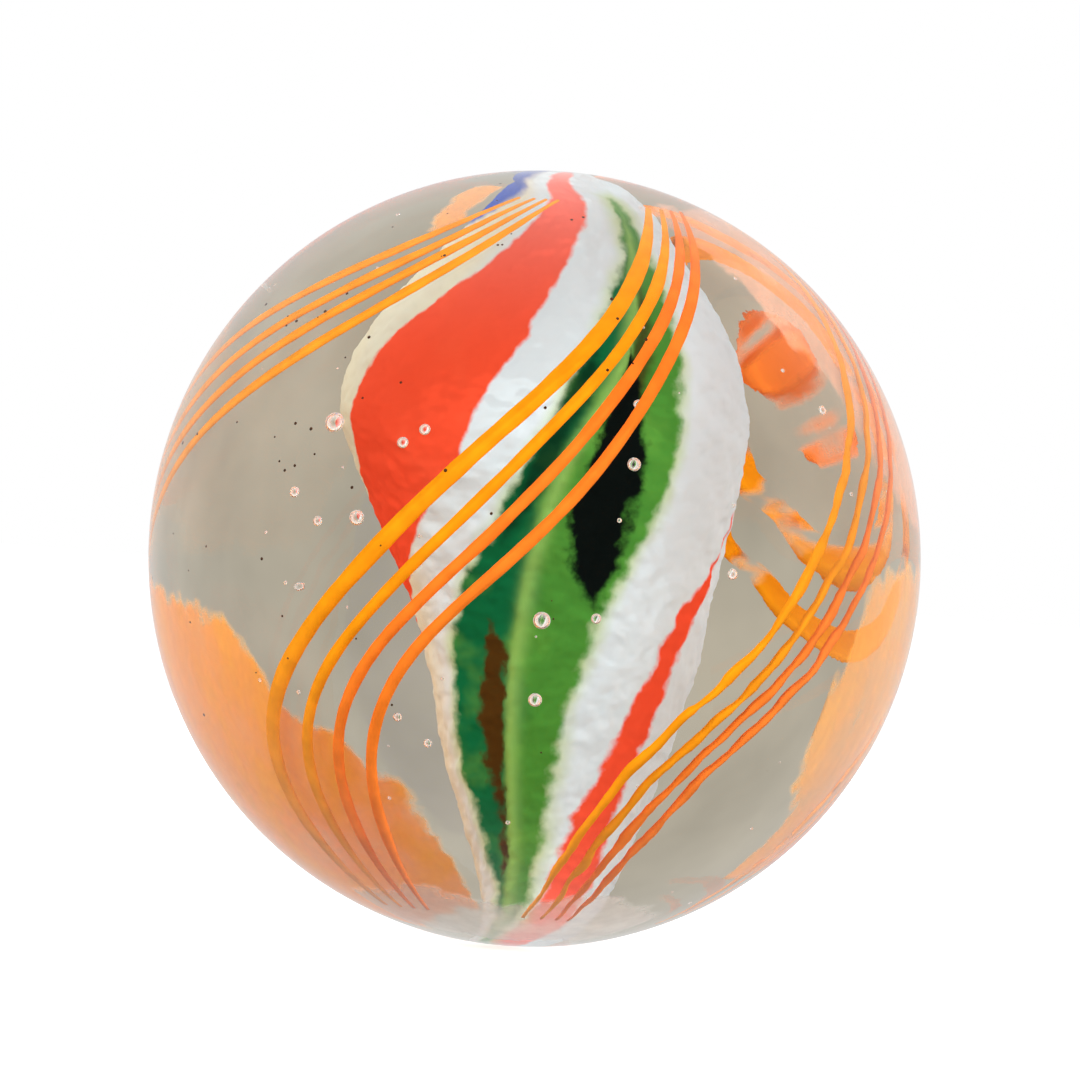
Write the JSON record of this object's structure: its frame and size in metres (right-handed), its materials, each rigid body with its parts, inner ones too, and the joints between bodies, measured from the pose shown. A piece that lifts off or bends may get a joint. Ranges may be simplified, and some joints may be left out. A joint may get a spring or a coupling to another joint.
{
  "type": "glass marble",
  "caption": "Clear glass swirl marble: a twisted striped core inside a clear ball, with sets of thin coloured strands spiralling just under the surface.",
  "frame": {"origin": "middle of the ball", "axes": "+Z along the swirl axis from the lower pole to the upper pole, -Y out of the front set of strands, +X to their right"},
  "size_m": [0.038, 0.038, 0.0382],
  "materials": {
    "clear_glass": "clear, polished, with seed bubbles and tiny surface pits",
    "core_glass": "opaque white glass striped with red, green, black, brown and blue",
    "yellow_glass": "opaque egg-yolk yellow glass",
    "orange_glass": "opaque orange glass"
  },
  "bodies": {
    "root": {"clear_glass": "clear_glass", "core": "core_glass", "left_strand_1": "yellow_glass", "left_strand_2": "yellow_glass", "left_strand_3": "yellow_glass", "left_strand_4": "yellow_glass", "front_strand_1": "yellow_glass", "front_strand_2": "yellow_glass", "front_strand_3": "orange_glass", "front_strand_4": "orange_glass", "right_strand_1": "yellow_glass", "right_strand_2": "yellow_glass", "right_strand_3": "orange_glass", "right_strand_4": "orange_glass", "right_rear_strand_1": "yellow_glass", "right_rear_strand_2": "yellow_glass", "right_rear_strand_3": "orange_glass", "right_rear_strand_4": "orange_glass", "rear_strand_1": "orange_glass", "rear_strand_2": "orange_glass", "rear_strand_3": "yellow_glass", "rear_strand_4": "yellow_glass", "left_rear_strand_1": "yellow_glass", "left_rear_strand_2": "orange_glass", "left_rear_strand_3": "orange_glass", "left_rear_strand_4": "orange_glass"}
  },
  "joints": []
}
